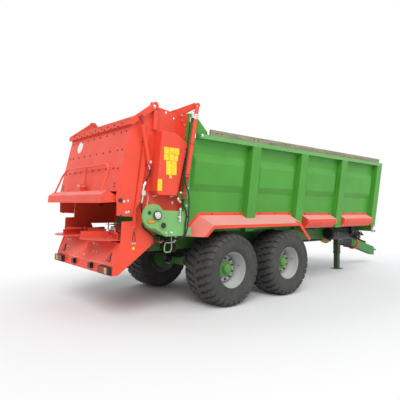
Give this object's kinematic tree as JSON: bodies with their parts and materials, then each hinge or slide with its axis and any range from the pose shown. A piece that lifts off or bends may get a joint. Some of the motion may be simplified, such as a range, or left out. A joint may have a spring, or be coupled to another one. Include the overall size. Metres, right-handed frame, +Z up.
{
  "type": "manure spreader",
  "caption": "Tandem-axle towed manure spreader: leaning-wall box body, lifting rear gate, horizontal beaters and twin spreading discs under a hinged hood, drawbar with stand.",
  "frame": {"origin": "on the ground, below the centre of the bounding box", "axes": "+X forward to the drawbar end, +Y to the left side, +Z up"},
  "size_m": [9.32, 2.55, 3.125],
  "materials": {
    "green_paint": "gloss",
    "red_paint": "gloss",
    "black_paint": "satin",
    "cast_iron": "rough",
    "bare_steel": "satin",
    "cylinder_paint": "gloss",
    "rod_chrome": "polished",
    "tyre_rubber": "matte",
    "wheel_silver": "satin",
    "board_wood": "weathered",
    "lamp_plastic": "gloss"
  },
  "bodies": {
    "spreader": {"air_tank": "black_paint", "box_floor": "bare_steel", "chain_guard": "red_paint", "chassis_beams": "green_paint", "conveyor_shaft": "bare_steel", "cross_members": "green_paint", "disc_deck": "red_paint", "drawbar": "green_paint", "drawbar_ring": "red_paint", "floor_conveyor": "bare_steel", "floor_drive_cover": "green_paint", "front_axle": "green_paint", "front_wall": "green_paint", "jack_sleeve": "black_paint", "leaf_springs": "black_paint", "light_bar": "red_paint", "lower_side_plates": "red_paint", "main_gearbox": "cast_iron", "pto_shaft": "bare_steel", "rear_axle": "green_paint", "rear_lamps": "lamp_plastic", "rear_panel": "red_paint", "rear_portal": "green_paint", "shaft_bearing": "cast_iron", "side_skirts": "red_paint", "side_wall_left": "green_paint", "side_wall_right": "green_paint", "spreader_side_left": "red_paint", "spreader_side_right": "red_paint", "top_boards": "board_wood", "top_rails": "green_paint", "towing_eye": "green_paint", "wall_posts": "green_paint", "wheel_fenders": "red_paint"},
    "front_right_wheel": {"front_right_tyre": "tyre_rubber", "front_right_wheel": "wheel_silver"},
    "front_left_wheel": {"front_left_tyre": "tyre_rubber", "front_left_wheel": "wheel_silver"},
    "rear_right_wheel": {"rear_right_tyre": "tyre_rubber", "rear_right_wheel": "wheel_silver"},
    "rear_left_wheel": {"rear_left_tyre": "tyre_rubber", "rear_left_wheel": "wheel_silver"},
    "gate": {"gate": "green_paint", "gate_arms": "red_paint"},
    "gate_barrel_right": {"gate_barrel_right": "cylinder_paint"},
    "gate_rod_right": {"gate_rod_right": "rod_chrome"},
    "gate_barrel_left": {"gate_barrel_left": "cylinder_paint"},
    "gate_rod_left": {"gate_rod_left": "rod_chrome"},
    "hood": {"hood": "red_paint"},
    "hood_barrel_right": {"hood_barrel_right": "cylinder_paint"},
    "hood_rod_right": {"hood_rod_right": "rod_chrome"},
    "hood_barrel_left": {"hood_barrel_left": "cylinder_paint"},
    "hood_rod_left": {"hood_rod_left": "rod_chrome"},
    "flap": {"flap": "red_paint"},
    "lower_beater": {"lower_beater": "red_paint"},
    "upper_beater": {"upper_beater": "red_paint"},
    "spreading_disc_right": {"spreading_disc_right": "red_paint"},
    "spreading_disc_left": {"spreading_disc_left": "red_paint"},
    "jack_leg": {"jack_leg": "black_paint"}
  },
  "joints": [
    {"name": "front_right_wheel_spin", "type": "hinge", "parent": "spreader", "child": "front_right_wheel", "pos_m": [-1.04, -0.975, 0.585], "axis": [0, 1, 0], "continuous": true},
    {"name": "front_left_wheel_spin", "type": "hinge", "parent": "spreader", "child": "front_left_wheel", "pos_m": [-1.04, 0.975, 0.585], "axis": [0, 1, 0], "continuous": true},
    {"name": "rear_right_wheel_spin", "type": "hinge", "parent": "spreader", "child": "rear_right_wheel", "pos_m": [-2.46, -0.975, 0.585], "axis": [0, 1, 0], "continuous": true},
    {"name": "rear_left_wheel_spin", "type": "hinge", "parent": "spreader", "child": "rear_left_wheel", "pos_m": [-2.46, 0.975, 0.585], "axis": [0, 1, 0], "continuous": true},
    {"name": "gate_lift", "type": "slide", "parent": "spreader", "child": "gate", "axis": [0, 0, 1], "range_m": [0, 0.95]},
    {"name": "gate_barrel_right_swing", "type": "hinge", "parent": "gate", "child": "gate_barrel_right", "pos_m": [-3.245, -1.235, 3.085], "axis": [0, -1, 0], "range_deg": [0, 4]},
    {"name": "gate_rod_right_slide", "type": "slide", "parent": "gate_barrel_right", "child": "gate_rod_right", "axis": [-0.1656, 0, -0.9862], "range_m": [0, 0.95]},
    {"name": "gate_barrel_left_swing", "type": "hinge", "parent": "gate", "child": "gate_barrel_left", "pos_m": [-3.245, 1.235, 3.085], "axis": [0, -1, 0], "range_deg": [0, 4]},
    {"name": "gate_rod_left_slide", "type": "slide", "parent": "gate_barrel_left", "child": "gate_rod_left", "axis": [-0.1656, 0, -0.9862], "range_m": [0, 0.95]},
    {"name": "hood_hinge", "type": "hinge", "parent": "spreader", "child": "hood", "pos_m": [-3.845, 0, 3.02], "axis": [0, 1, 0], "range_deg": [0, 60]},
    {"name": "hood_barrel_right_swing", "type": "hinge", "parent": "spreader", "child": "hood_barrel_right", "pos_m": [-3.96, -1.062, 2.18], "axis": [0, 1, 0], "range_deg": [0, 1]},
    {"name": "hood_rod_right_slide", "type": "slide", "parent": "hood_barrel_right", "child": "hood_rod_right", "axis": [-0.2079, 0, 0.9781], "range_m": [0, 0.33]},
    {"name": "hood_barrel_left_swing", "type": "hinge", "parent": "spreader", "child": "hood_barrel_left", "pos_m": [-3.96, 1.062, 2.18], "axis": [0, 1, 0], "range_deg": [0, 1]},
    {"name": "hood_rod_left_slide", "type": "slide", "parent": "hood_barrel_left", "child": "hood_rod_left", "axis": [-0.2079, 0, 0.9781], "range_m": [0, 0.33]},
    {"name": "flap_hinge", "type": "hinge", "parent": "hood", "child": "flap", "pos_m": [-4.353, 0, 1.666], "axis": [0, -1, 0], "range_deg": [0, 70]},
    {"name": "lower_beater_spin", "type": "hinge", "parent": "spreader", "child": "lower_beater", "pos_m": [-3.745, 0, 1.86], "axis": [0, 1, 0], "continuous": true},
    {"name": "upper_beater_spin", "type": "hinge", "parent": "spreader", "child": "upper_beater", "pos_m": [-3.745, 0, 2.46], "axis": [0, 1, 0], "continuous": true},
    {"name": "spreading_disc_right_spin", "type": "hinge", "parent": "spreader", "child": "spreading_disc_right", "pos_m": [-4.19, -0.48, 1.112], "axis": [0, 0, 1], "continuous": true},
    {"name": "spreading_disc_left_spin", "type": "hinge", "parent": "spreader", "child": "spreading_disc_left", "pos_m": [-4.19, 0.48, 1.112], "axis": [0, 0, 1], "continuous": true},
    {"name": "jack_leg_slide", "type": "slide", "parent": "spreader", "child": "jack_leg", "axis": [0, 0, 1], "range_m": [0, 0.31]}
  ],
  "couplings": [
    {"joint": "gate_barrel_right_swing", "follows": "gate_lift", "rad_per_m": 0.07204},
    {"joint": "gate_rod_right_slide", "follows": "gate_lift", "ratio": 0.99186},
    {"joint": "hood_barrel_right_swing", "follows": "hood_hinge", "ratio": 0.0147},
    {"joint": "hood_rod_right_slide", "follows": "hood_hinge", "m_per_rad": 0.3085},
    {"joint": "gate_barrel_left_swing", "follows": "gate_lift", "rad_per_m": 0.07204},
    {"joint": "gate_rod_left_slide", "follows": "gate_lift", "ratio": 0.99186},
    {"joint": "hood_barrel_left_swing", "follows": "hood_hinge", "ratio": 0.0147},
    {"joint": "hood_rod_left_slide", "follows": "hood_hinge", "m_per_rad": 0.3085},
    {"joint": "upper_beater_spin", "follows": "lower_beater_spin", "ratio": 1},
    {"joint": "spreading_disc_left_spin", "follows": "spreading_disc_right_spin", "ratio": -1}
  ]
}
